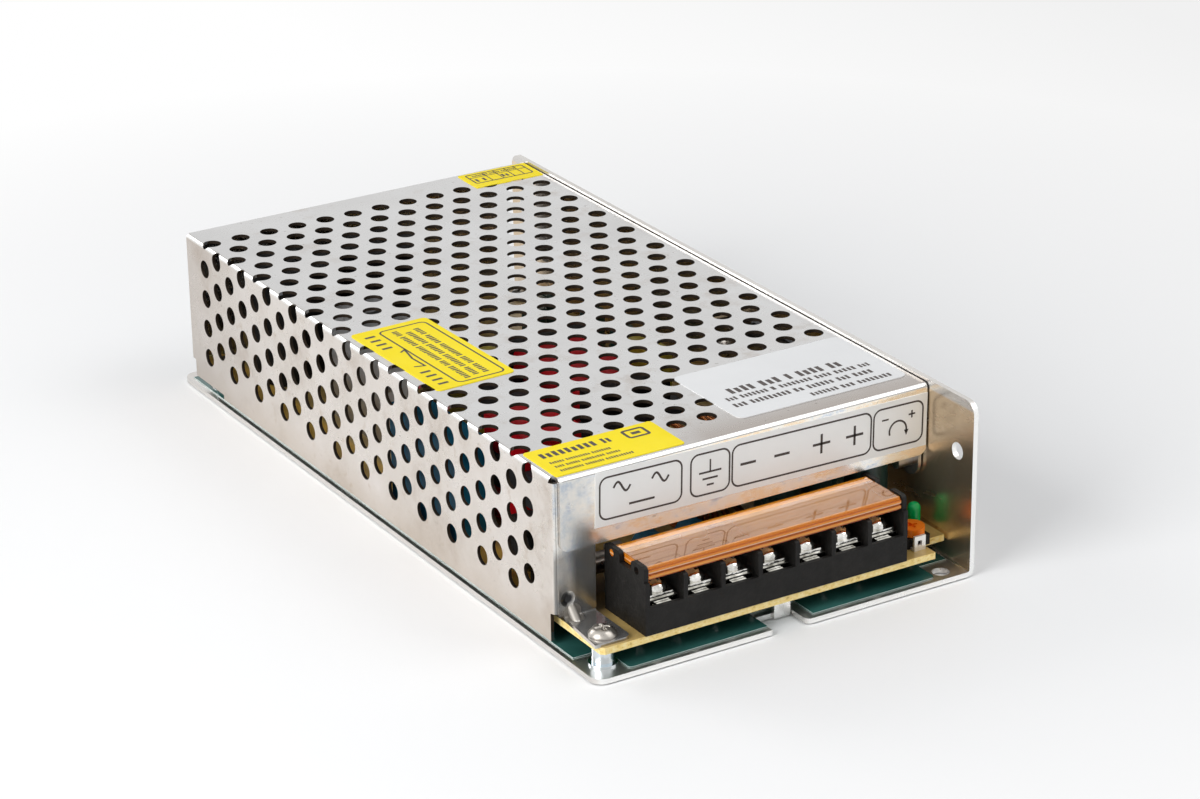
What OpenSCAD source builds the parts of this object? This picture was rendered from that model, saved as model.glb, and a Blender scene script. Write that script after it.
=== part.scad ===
// Mesh case switching power supply with a seven way screw terminal block.
// X is the width (perforated wall at -X, plain aluminium wall at +X),
// Y the length (terminals at -Y) and Z is up. The origin is under the middle of the base.

/* [Chassis] */
// Width over the base and the plain side wall
case_w = 98; // [98:0.5:120]
// Length of the base
case_l = 199; // [198:1:240]
// Height of the plain side wall
case_h = 41.5; // [41.5:0.5:52]
// Aluminium sheet thickness
chassis_t = 1.2; // [1:0.1:2]
// Outside radius of the chassis bend
chassis_bend = 1.8; // [1.6:0.1:3]
// Radius of the free corners of the base and the wall
chassis_corner = 3; // [1:0.5:5]
// Width of the slot in the front edge of the base
notch_w = 9; // [8:0.5:12]
// Depth of that slot
notch_d = 6.8; // [6:0.1:10]
// Width of the board rest that is bent up from the slot
rest_w = 4.2; // [3:0.2:5]
// Diameter of the mounting holes
mount_hole_d = 4; // [3:0.1:4.5]
// Height of the mounting holes in the side wall
side_hole_z = 28.4; // [20:0.1:34]
// Distance of the side holes from the ends of the case
side_hole_end = 5.6; // [5:0.1:12]

/* [Cover] */
// Steel sheet thickness of the cover
cover_t = 0.8; // [0.6:0.1:1]
// Outside radius of the cover's bends
cover_bend = 1.3; // [1.1:0.1:2]
// How far the cover's left wall stands in from the edge of the base
cover_ledge = 0.4; // [0:0.1:2]
// Gap between the cover and the plain wall
cover_gap = 0.3; // [0.1:0.1:1]
// Cover top below the top of the plain wall
cover_drop = 0.8; // [0:0.1:1]
// Space in front of the cover for the terminals
cover_front = 16.7; // [16.5:0.1:19]
// Length of base that is left free behind the cover
cover_back = 4.7; // [2:0.1:8]
// Opening between the back panel and the plain wall
back_gap = 6; // [1:0.5:12]
// Gap between the terminal block and the front lip above it
lip_gap_z = 0.9; // [0.5:0.1:3]
// Gap under the perforated wall
wall_lift = 1.2; // [0.5:0.1:3]
// Extra gap under the back end of that wall
step_lift = 1.2; // [0.5:0.1:3]
// Height of the relief in the back corner of that wall
step_relief = 5.5; // [4:0.5:8]
// Length of the raised back end
step_l = 18; // [8:1:20]
// Diameter of the ventilation holes
vent_d = 4.5; // [3.5:0.1:5]
// Distance between neighbouring ventilation holes
vent_pitch = 7.8; // [7:0.1:9]
// Distance from the long corner of the cover to the holes that run into its bend
vent_edge = 2.3; // [2.3:0.1:3]
// Distance from the back edge of the cover to the first row
vent_back = 11.1; // [9:0.1:14]

/* [Board] */
// Board thickness
pcb_t = 1.6; // [1:0.1:2]
// Height of the posts that carry the board
post_h = 4.3; // [4:0.1:5.4]
// Post diameter
post_d = 5; // [4.5:0.1:6]
// Gap between the board and the perforated wall
pcb_gap = 1.6; // [0.3:0.1:2]
// Distance from the front of the base to the front of the board
pcb_front = 2.3; // [2:0.1:5]
// Insulating film thickness
film_t = 0.25; // [0.1:0.05:0.5]

/* [Terminals] */
// Distance between the ways
way_pitch = 9.5; // [9.4:0.05:9.6]
// Thickness of the barriers
barrier_t = 1.1; // [0.8:0.1:1.4]
// Depth of the terminal block
block_d = 16.3; // [16:0.1:16.5]
// Height of the barriers over the board
barrier_h = 12.2; // [11.5:0.1:12.3]
// Height of the front band over the board
band_h = 6.4; // [5.6:0.1:7]
// Distance of the block from the cover's left wall; the ways fill the rest of the width
block_left = 13.1; // [12.9:0.1:13.3]
// Gap between the block and the trimmer
block_gap = 2; // [1:0.1:4]
// Thickness of the clear lid
lid_t = 1.2; // [1:0.1:1.4]
// Height of the lid's front lip
lid_lip = 2.9; // [2.6:0.1:3]
// Radius of the lid's pins
lid_pin_r = 0.8; // [0.6:0.05:0.9]
// Running clearance around the lid's pins
pin_play = 0.08; // [0.05:0.01:0.1]

/* [Fasteners and indicators] */
// Head diameter of the board screws
screw_head_d = 6.4; // [5.5:0.1:6.6]
// Shank diameter of the board screws
screw_d = 3; // [2.5:0.1:3]
// Diameter of the trimmer's disc
rotor_d = 6; // [5:0.1:6.4]
// Lamp diameter
led_d = 3; // [2.8:0.1:3.4]

/* [Components] */
// Height of the main transformer
transformer_h = 28; // [24:0.5:28]
// Diameter of the two reservoir capacitors
bulk_d = 22; // [18:0.5:23]
// Gap between the reservoir capacitors and the cover
bulk_gap = 2.8; // [1:0.1:8]
// Diameter of the output capacitors
out_cap_d = 10; // [8:0.5:10.5]
// Height of the output capacitors
out_cap_h = 21; // [16:0.5:24]
// Outside diameter of the output choke's ring
choke_d = 26; // [22:0.5:27]
// Height of the heat sink
sink_h = 27; // [24:0.5:28]

/* [Hidden] */
$fn = 48;

e = 0.01;
left = -case_w/2;
right = case_w/2;
front = -case_l/2;
back = case_l/2;
wall_in = right - chassis_t;

// Levels of the board
pcb_z = chassis_t + post_h;
deck = pcb_z + pcb_t;

// Cover planes
cover_x = left + cover_ledge;
cover_in = cover_x + cover_t;
cover_end = wall_in - cover_gap;
cover_top = case_h - cover_drop;
cover_under = cover_top - cover_t;
cover_y = front + cover_front;
cover_yb = back - cover_back;
wall_z = chassis_t + wall_lift;
lip_gap = 0.1;
lip_left = cover_x + cover_bend;
flange_y = cover_y + cover_t + lip_gap;
flange_w = 10.4;
flange_z = cover_under - 0.4;
foot_w = 9;
foot_x = cover_x + 1.2;
foot_skew = 1.3;
foot_end = front + pcb_front + 0.8;
wall_front = flange_y + 1.6;
foot_fold = flange_y + cover_t - cover_bend;
strip_z = deck + 2;
back_x = cover_x + cover_bend;
back_w = wall_in - back_gap - back_x;
bulk_h = cover_under - bulk_gap - deck;
back_z = chassis_t + 4.4;

// Ventilation pattern
vent_row = vent_pitch*sin(60);
vent_half = vent_pitch/2;
vent_x0 = cover_x + vent_edge;
vent_y0 = cover_yb - vent_back;
vent_rows = floor((vent_y0 - cover_y - vent_back + 0.6)/vent_row) + 1;
vent_columns = floor((cover_end - vent_x0 - vent_pitch/2 - vent_d/2)/vent_pitch);
vent_levels = floor((cover_top - vent_edge - vent_half - wall_z - step_lift - vent_d/2 - 1)/vent_pitch);

// Board outline
pcb_left = cover_in + pcb_gap;
pcb_right = wall_in - 0.6;
pcb_y = front + pcb_front;
pcb_yb = cover_yb - cover_t - 0.8;
pcb_corner = 0.8;
pcb_step_x = 41;
pcb_step_y = pcb_y + 6.5;

// Posts, with the first one under the cover's foot
post_x = foot_x + foot_w/2 - 0.4;
post_y = pcb_y + 4.5;
post_far_x = pcb_right - 5;
post_far_y = pcb_yb - 7;
post_mid_y = 8;
posts = [[post_x, post_y], [post_x, post_far_y], [post_far_x, post_far_y], [post_far_x, post_mid_y]];

// Slot and board rest in the middle of the front edge
notch_x = -4.8;
rest_x = notch_x + 4.6;
rest_y = front + notch_d - 0.7;

// Terminal block planes
block_x = cover_x + block_left;
trimmer_x = wall_in - 9.2;
trimmer_w = 6.4;
ways = floor((trimmer_x - trimmer_w/2 - block_gap - barrier_t - block_x)/way_pitch);
block_w = ways*way_pitch + barrier_t;
block_y = pcb_y - 0.2;
block_yb = block_y + block_d;
floor_z = deck + band_h - 2;
band_z = deck + band_h;
barrier_z = deck + barrier_h;
band_t = 0.9;
rear_wall_t = 1.5;
ear_z = deck + 15.7;
lip_z = ear_z + lip_gap_z;
lip_h = cover_top - lip_z;
valley_z = deck + 13.2;
way0_x = block_x + barrier_t/2 + way_pitch/2;
clamp_y = block_y + 5.4;

// Lid: pins in the rear ears, front lip just over the barriers
hinge_y = block_yb - 2.8;
hinge_z = deck + 14.2;
lid_play = 0.2;
lid_x = block_x + barrier_t + lid_play;
lid_w = block_w - 2*barrier_t - 2*lid_play;
lid_z = hinge_z - 0.1;
lid_low = lid_z + lid_t - lid_lip;
lid_front = block_y + 1.1;
lid_back = hinge_y + 1.2;
lid_wall = 1;

// Positions of the board's parts. The left group keeps to the perforated wall, the right
// group to the plain wall, the front group to the terminals and the back group to the back.
trimmer_y = block_y + 7.4;
trimmer_base_h = 2.3;
trimmer_axle_r = 0.8;
led_x = trimmer_x + 5.3;
led_y = block_yb - 2.6;
fuse_at = [cover_in + 14.8, block_yb + 10.4];
disc_x = [cover_in + 25.8, cover_in + 36.8];
disc_y = block_yb + 3.9;
thermistor_at = [cover_in + 5.8, block_yb + 22.4];
choke_at = [3, block_yb + 23.4];
out_cap_x = wall_in - 9.5;
out_cap_y = block_yb + 8.4;
x_cap_at = [cover_in + 6.3, -20.5];
line_choke_at = [cover_in + 22.3, -34.5];
transformer_at = [line_choke_at[0] + 24, -17];
film_cap_at = [transformer_at[0] + 19.5, -13];
rectifier_y = -22;
driver_at = [-4, 21];
sink_at = [cover_in + 12.8, 6];
bridge_at = [cover_in + 28.8, cover_yb - 41.5];
bulk_x = cover_in + 17.8;
bulk_y = cover_yb - 21.5;
chip_at = [12, 30];
right_x = wall_in - 25.8;
resistor_at = [[right_x, 6], [right_x, 12], [right_x, 19], [-12, 33.6], [-12, 39.2]];
small_at = [for (p = [[5, 36], [16, 30], [5, 54], [16, 44], [11, 58], [13, -30], [6, -28]])
    [right_x + p[0], p[1]]];

// Plain wall: mounting holes, holes for the cover's screws and for the clamp
base_hole_x = right - 6.5;
base_hole_end = 3.5;
bottom_x = 50;
bottom_y = 150;
side_screw_d = 3;
flat_head_d = 5.8;
side_screw_z = lip_z - 3;
side_front = cover_y + 5.3;
side_back = cover_yb - 12.7;
side_tab_w = 12;
side_tab_edge = 3.6;
clamp_z = deck + 19;
clamp_y0 = rectifier_y + 12;

// Quarter ring of bent sheet, in the corner where x and y are positive
module fold_2d(r, t) {
    difference() {
        intersection() {
            circle(r);
            square(r + 1);
        }
        circle(r - t);
    }
}

// Carries a drawing in the plane of Y and Z along X
module along_x(x, length) {
    translate([x, 0, 0]) rotate([90, 0, 90]) linear_extrude(length) children();
}

// Carries a drawing in the plane of X and Z along Y
module along_y(y, length) {
    translate([0, y + length, 0]) rotate([90, 0, 0]) linear_extrude(length) children();
}

// Waste outside a rounded corner: the corner is at the origin and the sheet lies in +x, +y
module corner_cut(r, t) {
    translate([0, 0, -1]) linear_extrude(t + 2) difference() {
        translate([-1, -1]) square(r + 1);
        translate([r, r]) circle(r);
    }
}

module rounded_square(x, y, r) {
    translate([r, 0]) square([x - 2*r, y]);
    translate([0, r]) square([x, y - 2*r]);
    for (px = [r, x - r], py = [r, y - r]) translate([px, py]) circle(r);
}

// Screw with a domed cross head: the head's underside is at z = 0 and the shank hangs down
module dome_screw(head_d, head_h, shank_d, shank_l) {
    rim = head_h*0.3;
    rise = head_h - rim;
    dome = (head_d*head_d/4 + rise*rise)/(2*rise);
    difference() {
        union() {
            intersection() {
                cylinder(d = head_d, h = head_h);
                translate([0, 0, head_h - dome]) sphere(dome);
            }
            translate([0, 0, -shank_l]) cylinder(d = shank_d, h = shank_l + head_h/4);
        }
        for (a = [20, 110]) rotate(a) translate([-head_d*0.27, -head_d*0.075, head_h*0.4])
            cube([head_d*0.54, head_d*0.15, head_h]);
    }
}

// Radial can standing on the board, with a sleeve and a scored top
module can(d, h) {
    difference() {
        union() {
            cylinder(d = d - 0.6, h = h);
            translate([0, 0, 0.8]) cylinder(d = d, h = h - 1.2);
        }
        for (a = [0, 90]) rotate(a) translate([-d*0.35, -0.2, h - 0.3]) cube([d*0.7, 0.4, 1]);
    }
}

module chassis_sheet() {
    along_y(front, case_l) {
        translate([left, 0]) square([case_w - chassis_bend, chassis_t]);
        translate([wall_in, chassis_bend]) square([chassis_t, case_h - chassis_bend]);
        translate([right - chassis_bend, chassis_bend]) mirror([0, 1])
            fold_2d(chassis_bend, chassis_t);
    }
}

module chassis() {
    color("gainsboro") {
        difference() {
            chassis_sheet();
            translate([left, front, 0]) corner_cut(chassis_corner, chassis_t);
            translate([left, back, 0]) mirror([0, 1, 0]) corner_cut(chassis_corner, chassis_t);
            translate([wall_in, front, case_h]) rotate([0, 90, 0])
                corner_cut(chassis_corner, chassis_t);
            translate([wall_in, back, case_h]) rotate([0, 90, 0]) mirror([0, 1, 0])
                corner_cut(chassis_corner, chassis_t);
            translate([notch_x, front - 1, -1]) cube([notch_w, notch_d + 1, chassis_t + 2]);
            translate([notch_x + notch_w, front, 0]) corner_cut(1.5, chassis_t);
            for (y = [front + side_hole_end, back - side_hole_end])
                translate([wall_in - 1, y, side_hole_z]) rotate([0, 90, 0])
                    cylinder(d = mount_hole_d, h = chassis_t + 2);
            for (y = [front + base_hole_end, back - base_hole_end])
                translate([base_hole_x, y, -1]) cylinder(d = mount_hole_d, h = chassis_t + 2);
            for (x = [-bottom_x/2, bottom_x/2], y = [-bottom_y/2, bottom_y/2])
                translate([x, y, -1]) cylinder(d = mount_hole_d, h = chassis_t + 2);
            for (y = [side_front, side_back]) translate([right + e, y, side_screw_z])
                rotate([0, -90, 0]) cylinder(d1 = flat_head_d + 0.1, d2 = side_screw_d + 0.2,
                    h = chassis_t + 2*e);
            translate([wall_in - 1, clamp_y0, clamp_z]) rotate([0, 90, 0])
                cylinder(d = screw_d + 0.2, h = chassis_t + 2);
        }
        translate([rest_x, rest_y, 0]) cube([rest_w, chassis_t, pcb_z]);
    }
}

module insulating_film() {
    film_left = left + 1.3;
    film_y = front + 3;
    film_yb = back - 3.5;
    color([0.75, 0.82, 0.8]) translate([0, 0, chassis_t]) linear_extrude(film_t) difference() {
        translate([film_left, film_y]) square([wall_in - 0.7 - film_left, film_yb - film_y]);
        translate([film_left - 1, film_y - 1]) square([9.6, 9.7]);
        translate([notch_x - 0.1, film_y - 1]) square([notch_w + 2.7, 6.8]);
        translate([base_hole_x - 2.8, film_y - 1]) square([20, 5.8]);
        translate([base_hole_x - 2.8, film_yb - 4.8]) square([20, 20]);
        for (p = posts) translate(p) circle(d = post_d + 2.2);
    }
}

module standoffs() {
    color("silver") for (p = posts) translate([p[0], p[1], chassis_t]) difference() {
        union() {
            cylinder(d = post_d, h = post_h);
            cylinder(d = post_d + 1.4, h = 0.5);
        }
        translate([0, 0, 0.5]) cylinder(d = screw_d + 0.1, h = post_h);
    }
}

module pcb() {
    color([0.72, 0.55, 0.25]) translate([0, 0, pcb_z]) linear_extrude(pcb_t) difference() {
        polygon([
            [pcb_left, pcb_y + pcb_corner], [pcb_left + pcb_corner, pcb_y], [pcb_step_x - 1, pcb_y],
            [pcb_step_x - 1, pcb_step_y - 2], [pcb_step_x + 1, pcb_step_y], [pcb_right, pcb_step_y],
            [pcb_right, pcb_yb], [pcb_left, pcb_yb]
        ]);
        for (p = posts) translate(p) circle(d = screw_d + 0.3);
    }
}

module pcb_screws() {
    color("silver") for (i = [1:3]) translate([posts[i][0], posts[i][1], deck])
        dome_screw(screw_head_d - 0.6, 2.2, screw_d, pcb_t + post_h - 0.8);
}

// Vents of the top; every second row is moved half a pitch away from the long corner
module vents_top() {
    for (j = [0:vent_rows - 1], i = [0:vent_columns])
        translate([vent_x0 + i*vent_pitch + (j % 2)*vent_half, vent_y0 - j*vent_row])
            circle(d = vent_d, $fn = 24);
}

// The same rows carried on down the wall; the other rows reach its bend here.
// Drawn with the depth below the top along x.
module vents_wall() {
    for (j = [0:vent_rows - 1], i = [0:vent_levels])
        translate([vent_edge + i*vent_pitch + (1 - j % 2)*vent_half, vent_y0 - j*vent_row])
            circle(d = vent_d, $fn = 24);
}

module cover_top_plate() {
    translate([0, 0, cover_under]) linear_extrude(cover_t) difference() {
        // Drawn corner by corner, so that both ends meet the folds exactly at every length
        polygon([[cover_x + cover_bend, cover_y + cover_bend], [cover_end, cover_y + cover_bend],
            [cover_end, cover_yb - cover_bend], [cover_x + cover_bend, cover_yb - cover_bend]]);
        vents_top();
    }
}

module cover_wall() {
    translate([cover_x, 0, cover_top]) rotate([0, 90, 0]) linear_extrude(cover_t) difference() {
        union() {
            translate([cover_bend, wall_front])
                square([cover_top - cover_bend - wall_z, cover_yb - cover_bend - wall_front]);
            // Narrower strip over the foot, up to the front fold
            translate([cover_bend, flange_y + cover_bend])
                square([flange_z - strip_z, wall_front - flange_y - cover_bend + e]);
        }
        translate([cover_top - wall_z - step_lift, cover_yb - step_l]) square([10, step_l + 5]);
        // Relief at the back corner
        translate([cover_top - wall_z - step_relief, cover_yb - cover_bend - 1.5]) square([20, 5]);
        vents_wall();
    }
}

module cover_side_bend() {
    difference() {
        along_y(wall_front, cover_yb - cover_bend - wall_front)
            translate([cover_x + cover_bend, cover_top - cover_bend]) mirror([1, 0])
                fold_2d(cover_bend, cover_t);
        for (j = [0:2:vent_rows - 1])
            translate([vent_x0, vent_y0 - j*vent_row, cover_top - cover_bend - e])
                cylinder(d = vent_d, h = 3, $fn = 24);
        for (j = [1:2:vent_rows - 1])
            translate([cover_x - 1, vent_y0 - j*vent_row, cover_top - vent_edge]) rotate([0, 90, 0])
                cylinder(d = vent_d, h = 1 + cover_bend + e, $fn = 24);
    }
}

module cover_lip() {
    along_x(lip_left, cover_end - lip_left) translate([cover_y + cover_bend, cover_top - cover_bend])
        mirror([1, 0]) fold_2d(cover_bend, cover_t);
    translate([0, cover_y + cover_t, 0]) rotate([90, 0, 0]) linear_extrude(cover_t) {
        translate([lip_left, lip_z + 2]) square([cover_end - lip_left, lip_h - cover_bend - 2]);
        translate([lip_left + 2, lip_z]) square([cover_end - lip_left - 4, 2 + e]);
        for (x = [lip_left + 2, cover_end - 2]) translate([x, lip_z + 2]) circle(2);
    }
}

module cover_back_panel() {
    along_x(back_x, back_w) {
        translate([cover_yb - cover_bend, cover_top - cover_bend]) fold_2d(cover_bend, cover_t);
        translate([cover_yb - cover_t, back_z])
            square([cover_t, cover_top - cover_bend - back_z]);
    }
}

// Upright fold behind the lip, with the foot that is screwed down on the board
module cover_foot() {
    translate([0, 0, strip_z]) linear_extrude(flange_z - strip_z)
        translate([cover_x + cover_bend, flange_y + cover_bend]) mirror([1, 0]) mirror([0, 1])
            fold_2d(cover_bend, cover_t);
    translate([cover_x + cover_bend, flange_y, deck + cover_bend])
        cube([flange_w - cover_bend, cover_t, flange_z - deck - cover_bend]);
    along_x(foot_x + foot_skew, foot_w - foot_skew)
        translate([flange_y + cover_t - cover_bend, deck + cover_bend])
            mirror([0, 1]) fold_2d(cover_bend, cover_t);
    translate([0, 0, deck]) linear_extrude(cover_t) difference() {
        polygon([
            [foot_x, foot_end], [foot_x + foot_w, foot_end], [foot_x + foot_w, foot_fold],
            [foot_x + foot_skew, foot_fold]
        ]);
        translate([post_x, post_y]) circle(d = screw_d + 0.2);
        translate([foot_x + foot_w, foot_end]) difference() {
            translate([-1.6, -1]) square(2.6);
            translate([-1.6, 1.6]) circle(1.6);
        }
    }
    // Pressed rib that stiffens the bend
    intersection() {
        translate([foot_x + 3.2, flange_y - 0.75, deck + cover_t + 0.75]) rotate([-45, 0, 0])
            cylinder(r = 1.1, h = 8, center = true);
        translate([foot_x, flange_y - 4, deck + 0.4]) cube([6, 4.4, 6]);
    }
}

// Tab inside the plain wall; dir tells which way the longer side lies
module side_tab(y, dir) {
    tab_y = dir > 0 ? y - side_tab_edge : y + side_tab_edge - side_tab_w;
    along_x(cover_end - cover_t, cover_t) difference() {
        union() {
            translate([tab_y, lip_z + 1]) square([side_tab_w, cover_top - e - lip_z - 1]);
            translate([y, side_screw_z]) circle(side_tab_edge);
            translate([y - side_tab_edge, side_screw_z])
                square([2*side_tab_edge, lip_z + 1 + e - side_screw_z]);
        }
        translate([y, side_screw_z]) circle(d = side_screw_d + 0.1);
    }
}

module cover() {
    color("lightgray") {
        cover_top_plate();
        cover_wall();
        cover_side_bend();
        cover_lip();
        cover_back_panel();
        cover_foot();
        side_tab(side_front, 1);
        side_tab(side_back, -1);
    }
}

module cover_screw() {
    color("silver") translate([post_x, post_y, deck + cover_t])
        dome_screw(screw_head_d, 2, screw_d, cover_t + pcb_t + post_h - 0.8);
}

module side_screws() {
    color("silver") for (y = [side_front, side_back]) translate([right, y, side_screw_z])
        rotate([0, -90, 0]) difference() {
            union() {
                cylinder(d1 = flat_head_d, d2 = side_screw_d, h = chassis_t);
                cylinder(d = side_screw_d, h = 6);
            }
            for (a = [0, 90]) rotate(a) translate([-1.6, -0.4, -1]) cube([3.2, 0.8, 1.8]);
        }
}

label_t = 0.15;

module legend_label() {
    legend_low = 3.7;
    legend_high = 0.7;
    legend_x = cover_x + 9.75;
    color("whitesmoke") translate([legend_x, cover_y, lip_z + legend_low]) rotate([90, 0.97, 0])
        linear_extrude(label_t)
            square([cover_end - 0.2 - legend_x, lip_h - legend_low - legend_high]);
}

// Sticker on the top: its corner, size, turn and corner radius
module top_label(x, y, w, l, turn, r) {
    translate([x, y, cover_top]) rotate(turn) linear_extrude(label_t) rounded_square(w, l, r);
}

module rating_label() {
    color("whitesmoke") top_label(cover_end - 45.9, cover_y + 5.8, 44.9, 26.5, 0, 2);
}

module front_notice() {
    color("gold") top_label(cover_x + 1.4, cover_y + 1.4, 32.1, 14.2, 0, 0.8);
}

module side_notice() {
    color("gold") top_label(cover_x + 3.3, -27.7, 20.1, 39.6, 1.6, 1.2);
}

module rear_notice() {
    color("gold") top_label(cover_end - 19.8, cover_yb - 12.2, 19.5, 10.4, -1, 0.4);
}

// Side outline of the end plates, with two ears; the back ears carry the lid's pins
module end_plate() {
    rotate([90, 0, 90]) linear_extrude(barrier_t) difference() {
        union() {
            translate([block_y, deck]) square([block_d, barrier_h]);
            translate([block_y + 0.6, deck]) square([5.2, ear_z - deck - 1]);
            translate([block_y + 1.6, deck]) square([3.2, ear_z - deck]);
            for (y = [block_y + 1.6, block_y + 4.8]) translate([y, ear_z - 1]) circle(1);
            translate([block_yb - 6, deck]) square([6, ear_z - deck - 1]);
            translate([block_yb - 5, deck]) square([4, ear_z - deck]);
            for (y = [block_yb - 5, block_yb - 1]) translate([y, ear_z - 1]) circle(1);
            translate([block_y + 4, deck]) square([block_d - 6, valley_z - deck]);
        }
        translate([hinge_y, hinge_z]) circle(lid_pin_r + pin_play);
        translate([block_y + 3.6, hinge_z - 0.2]) circle(0.9);
    }
}

module terminal_block() {
    color([0.13, 0.13, 0.14]) {
        for (x = [block_x, block_x + block_w - barrier_t]) translate([x, 0, 0]) end_plate();
        translate([block_x, block_y, deck]) cube([block_w, block_d, floor_z - deck]);
        translate([block_x, block_y, deck]) cube([block_w, band_t, band_h]);
        translate([block_x, block_yb - rear_wall_t, deck])
            cube([block_w, rear_wall_t, barrier_h - 0.9]);
        for (i = [1:ways - 1]) translate([block_x + i*way_pitch, block_y, deck]) rotate([90, 0, 90])
            linear_extrude(barrier_t) {
                square([block_d, barrier_h - 0.9]);
                translate([0.6, 0]) square([block_d - 4, barrier_h]);
                translate([0.6, barrier_h - 0.6]) circle(0.6);
                square([1.2, barrier_h - 0.6]);
            }
    }
}

washer_z = floor_z + 1.8;

module terminal_plates() {
    color("silver") for (i = [0:ways - 1]) translate([way0_x + i*way_pitch, 0, 0]) difference() {
        union() {
            translate([-3.6, block_y + 1.6, floor_z]) cube([7.2, 11.6, 0.8]);
            translate([-1.8, block_y + 1.1, floor_z]) cube([3.6, 0.6, 1.9]);
        }
        translate([0, clamp_y, floor_z - 1]) cylinder(d = 3.3, h = 3);
    }
}

// Square clamp washers in two layers, raised on the plates by their turned-down edges
module terminal_washers() {
    color("silver") for (i = [0:ways - 1]) translate([way0_x + i*way_pitch, clamp_y, 0]) difference() {
        union() {
            translate([-3.9, -3.6, washer_z]) cube([7.8, 7.6, 0.9]);
            translate([-3.1, -3.2, washer_z + 0.9 - e]) cube([6.2, 6.4, 0.9 + e]);
            for (x = [-3.6, 2.8]) translate([x, -3.2, floor_z + 0.8]) cube([0.8, 6.8, 1.1]);
        }
        translate([0, 0, floor_z]) cylinder(d = 3.3, h = 6);
    }
}

module terminal_screws() {
    color("silver") for (i = [0:ways - 1])
        translate([way0_x + i*way_pitch, clamp_y, washer_z + 1.8]) dome_screw(5.8, 2.6, 3.2, 3.6);
}

module terminal_cover() {
    pin_l = lid_play + barrier_t - 0.1 + lid_wall/2;
    color([0.95, 0.5, 0.15, 0.7]) {
        along_x(lid_x, lid_w) difference() {
            union() {
                translate([lid_front, lid_z]) square([lid_back - lid_front - 0.7, lid_t]);
                translate([lid_front, lid_z]) square([lid_back - lid_front, lid_t - 0.7]);
                translate([lid_back - 0.7, lid_z + lid_t - 0.7]) circle(0.7);
                translate([lid_front, lid_low]) square([lid_wall, lid_lip]);
                for (z = [0.35, 1.55]) translate([lid_front - 0.3, lid_low + z]) square([0.4, 0.7]);
            }
            translate([lid_front - 1, lid_z + lid_t - 0.5]) square([1.3, 0.6]);
        }
        for (x = [lid_x, lid_x + lid_w - lid_wall]) along_x(x, lid_wall) {
            translate([lid_front, lid_low + 0.9]) square([hinge_y - lid_front, lid_lip - 1.3]);
            translate([hinge_y, hinge_z]) circle(1.15);
        }
        for (x = [lid_x - lid_play - barrier_t + 0.1, lid_x + lid_w - lid_wall/2])
            translate([x, hinge_y, hinge_z]) rotate([0, 90, 0]) cylinder(r = lid_pin_r, h = pin_l);
    }
}

module trimmer_base() {
    color([0.2, 0.2, 0.21]) translate([trimmer_x, trimmer_y, deck]) difference() {
        translate([-trimmer_w/2, -3, 0]) linear_extrude(trimmer_base_h)
            rounded_square(trimmer_w, 6.2, 0.5);
        translate([0, 0, 0.6]) cylinder(r = trimmer_axle_r + pin_play, h = trimmer_base_h);
    }
}

module trimmer_rotor() {
    color("darkorange") translate([trimmer_x, trimmer_y, deck + trimmer_base_h + 0.1]) difference() {
        union() {
            cylinder(d = rotor_d, h = 1.8);
            translate([0, 0, -1.2]) cylinder(r = trimmer_axle_r, h = 1.3);
        }
        for (a = [0, 90]) rotate(a) translate([-1.5, -0.35, 1]) cube([3, 0.7, 1]);
    }
}

module trimmer_wiper() {
    color("silver") translate([trimmer_x - 2.4, trimmer_y - 4.6, deck]) difference() {
        union() {
            cube([3, 0.6, 3.5]);
            cube([3, 1.6, 0.5]);
        }
        translate([0.9, -1, 1.3]) cube([1.1, 1.6 + e, 1.1]);
    }
}

module led() {
    color([0.05, 0.55, 0.25]) translate([led_x, led_y, deck]) rotate_extrude() {
        square([led_d/2 + 0.35, 0.8]);
        square([led_d/2, 4.6]);
        translate([0, 4.6 - e]) intersection() {
            circle(d = led_d);
            square(led_d);
        }
    }
}

fuse_d = 5.2;
fuse_l = 20;

module fuse() {
    color("silver") translate([fuse_at[0] - fuse_l/2, fuse_at[1], deck + 5.4]) rotate([0, 90, 0]) {
        cylinder(d = fuse_d - 0.4, h = fuse_l);
        for (z = [0, fuse_l - 5]) translate([0, 0, z]) cylinder(d = fuse_d, h = 5);
    }
}

module fuse_holder() {
    color("silver") for (x = [-fuse_l/2 + 0.5, fuse_l/2 - 4.5])
        along_x(fuse_at[0] + x, 4) translate([fuse_at[1], deck]) difference() {
            translate([-3.2, 0]) square([6.4, 7.6]);
            translate([-2.2, -1]) square([4.4, 2.2]);
            translate([-2.7, 2]) square([5.4, 0.6]);
            translate([0, 5.4]) circle(d = fuse_d + 0.1);
            translate([-1.9, 5.4]) square([3.8, 4]);
        }
}

module thermistor() {
    color([0.1, 0.1, 0.1]) translate([thermistor_at[0], thermistor_at[1], deck]) {
        translate([-2.5, 0, 8.5]) rotate([0, 90, 0]) cylinder(d = 13, h = 5);
        for (y = [-3, 3]) translate([0, y, 0]) cylinder(d = 0.9, h = 6);
    }
}

module x_capacitor() {
    color([0.1, 0.3, 0.55]) translate([x_cap_at[0] - 4.5, x_cap_at[1] - 15.5, deck])
        linear_extrude(23) rounded_square(9, 31, 0.8);
}

module y_capacitors() {
    color([0.1, 0.35, 0.6]) for (x = disc_x) translate([x, disc_y, deck]) {
        translate([0, 1.6, 9.5]) rotate([90, 0, 0]) cylinder(d = 7.6, h = 3.2);
        for (dx = [-2.5, 2.5]) translate([dx, 0, 0]) cylinder(d = 0.8, h = 8.6);
    }
}

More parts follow.
